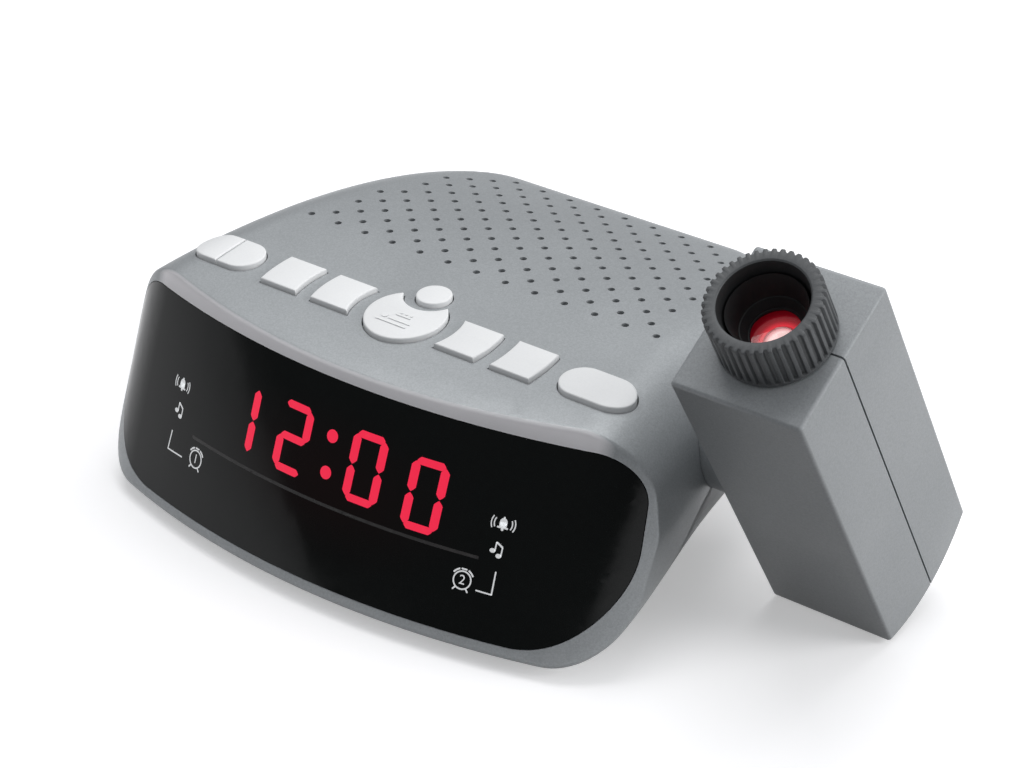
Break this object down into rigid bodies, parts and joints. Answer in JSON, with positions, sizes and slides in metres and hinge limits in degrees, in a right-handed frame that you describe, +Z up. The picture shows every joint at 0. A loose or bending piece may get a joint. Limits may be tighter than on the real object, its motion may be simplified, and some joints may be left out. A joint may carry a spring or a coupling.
{
  "type": "projection alarm clock",
  "caption": "Bedside alarm clock with a dark leaning display, a speaker grille and keys on its curved top, and a swivelling projector arm with a focus ring at its side.",
  "frame": {"origin": "on the table, under the middle of the whole clock's extent in X and Y", "axes": "+Z up, -Y out of the display towards the person who reads it, +X towards the projector arm"},
  "size_m": [0.2064, 0.1429, 0.1122],
  "materials": {
    "case_silver": "fine metallic silver lacquer on moulded plastic",
    "case_silver_lower": "satin silver, fine moulded grain",
    "key_cap": "pale satin",
    "window_black": "dark tinted, glossy",
    "ring_charcoal": "matt charcoal",
    "black_plastic": "matt black",
    "arm_silver": "fine metallic silver lacquer on moulded plastic",
    "circuit_board": "green solder mask",
    "chip_black": "moulded epoxy",
    "zinc_screw": "zinc plated",
    "steel_can": "tin plated sheet",
    "white_plastic": "white, light grain",
    "lit_red": "lit red segments behind a diffuser",
    "paper_cone": "black pressed paper",
    "magnet_ferrite": "dull ferrite",
    "cell_wrap": "plain printed wrap over a steel can",
    "contact_nickel": "nickel plated spring steel",
    "foot_rubber": "matt black rubber",
    "brass_pin": "bright",
    "lens_glass": "clear polished",
    "capacitor_sleeve": "dark sleeve",
    "lamp_lens": "red lamp dome"
  },
  "bodies": {
    "clock_case": {"top_case": "case_silver", "bottom_case": "case_silver_lower", "display_window": "window_black", "rubber_feet": "foot_rubber", "case_screws": "zinc_screw", "key_board": "circuit_board", "key_board_screws": "zinc_screw", "tact_switches": "black_plastic", "display_module": "black_plastic", "display_face": "lit_red", "icon_light_guides": "white_plastic", "display_board": "circuit_board", "display_board_screws": "zinc_screw", "main_board": "circuit_board", "main_board_screws": "zinc_screw", "main_chip": "chip_black", "capacitors": "capacitor_sleeve", "tuner_can": "steel_can", "board_connectors": "white_plastic", "speaker_frame": "steel_can", "speaker_cone": "paper_cone", "speaker_magnet": "magnet_ferrite", "speaker_screws": "zinc_screw", "backup_cells": "cell_wrap", "battery_contacts": "contact_nickel", "dc_socket": "black_plastic", "dc_socket_pin": "brass_pin", "pivot_bush": "arm_silver"},
    "projector_arm": {"pivot_shaft": "white_plastic", "pivot_washer": "steel_can", "pivot_clip": "steel_can", "arm_front_shell": "arm_silver", "arm_rear_shell": "arm_silver", "arm_screws": "zinc_screw", "light_tunnel": "black_plastic", "slide_display": "lens_glass", "condenser_lens": "lens_glass", "projector_lamp": "lamp_lens", "lamp_board": "circuit_board"},
    "focus_ring": {"focus_ring": "ring_charcoal"},
    "lens_unit": {"lens_carrier": "black_plastic", "projection_lens": "lens_glass"},
    "battery_door": {"battery_door": "case_silver_lower"},
    "alarm_one_key": {"alarm_one_key": "key_cap"},
    "alarm_two_key": {"alarm_two_key": "key_cap"},
    "hour_key": {"hour_key": "key_cap"},
    "minute_key": {"minute_key": "key_cap"},
    "snooze_key": {"snooze_key": "key_cap"},
    "dimmer_key": {"dimmer_key": "key_cap"},
    "time_key": {"time_key": "key_cap"},
    "projection_key": {"projection_key": "key_cap"},
    "radio_key": {"radio_key": "key_cap"}
  },
  "joints": [
    {"name": "alarm_one_key_press", "type": "slide", "parent": "clock_case", "child": "alarm_one_key", "axis": [0, 0, -1], "range_m": [0, 0.0007], "stiffness_N_per_m": 400, "springref_m": -0.0005},
    {"name": "alarm_two_key_press", "type": "slide", "parent": "clock_case", "child": "alarm_two_key", "axis": [0, 0, -1], "range_m": [0, 0.0007], "stiffness_N_per_m": 400, "springref_m": -0.0005},
    {"name": "hour_key_press", "type": "slide", "parent": "clock_case", "child": "hour_key", "axis": [0, 0, -1], "range_m": [0, 0.0007], "stiffness_N_per_m": 400, "springref_m": -0.0005},
    {"name": "minute_key_press", "type": "slide", "parent": "clock_case", "child": "minute_key", "axis": [0, 0, -1], "range_m": [0, 0.0007], "stiffness_N_per_m": 400, "springref_m": -0.0005},
    {"name": "snooze_key_press", "type": "slide", "parent": "clock_case", "child": "snooze_key", "axis": [0, 0, -1], "range_m": [0, 0.0007], "stiffness_N_per_m": 400, "springref_m": -0.0005},
    {"name": "dimmer_key_press", "type": "slide", "parent": "clock_case", "child": "dimmer_key", "axis": [0, 0, -1], "range_m": [0, 0.0007], "stiffness_N_per_m": 400, "springref_m": -0.0005},
    {"name": "time_key_press", "type": "slide", "parent": "clock_case", "child": "time_key", "axis": [0, 0, -1], "range_m": [0, 0.0007], "stiffness_N_per_m": 400, "springref_m": -0.0005},
    {"name": "projection_key_press", "type": "slide", "parent": "clock_case", "child": "projection_key", "axis": [0, 0, -1], "range_m": [0, 0.0007], "stiffness_N_per_m": 400, "springref_m": -0.0005},
    {"name": "radio_key_press", "type": "slide", "parent": "clock_case", "child": "radio_key", "axis": [0, 0, -1], "range_m": [0, 0.0007], "stiffness_N_per_m": 400, "springref_m": -0.0005},
    {"name": "arm_swivel", "type": "hinge", "parent": "clock_case", "child": "projector_arm", "pos_m": [0.07023, -0.00255, 0.0428], "axis": [1, 0, 0], "range_deg": [-122, 58]},
    {"name": "focus_turn", "type": "hinge", "parent": "projector_arm", "child": "focus_ring", "pos_m": [0.08673, -0.00255, 0.0428], "axis": [0, -0.5299, 0.848], "range_deg": [-90, 90]},
    {"name": "lens_slide", "type": "slide", "parent": "projector_arm", "child": "lens_unit", "axis": [0, -0.5299, 0.848], "range_m": [-0.0015, 0.0015]},
    {"name": "door_swing", "type": "hinge", "parent": "clock_case", "child": "battery_door", "pos_m": [-0.02077, -0.00105, 0.0038], "axis": [-1, 0, 0], "range_deg": [0, 95]}
  ],
  "couplings": [
    {"joint": "focus_turn", "follows": "lens_slide", "rad_per_m": 1047}
  ]
}
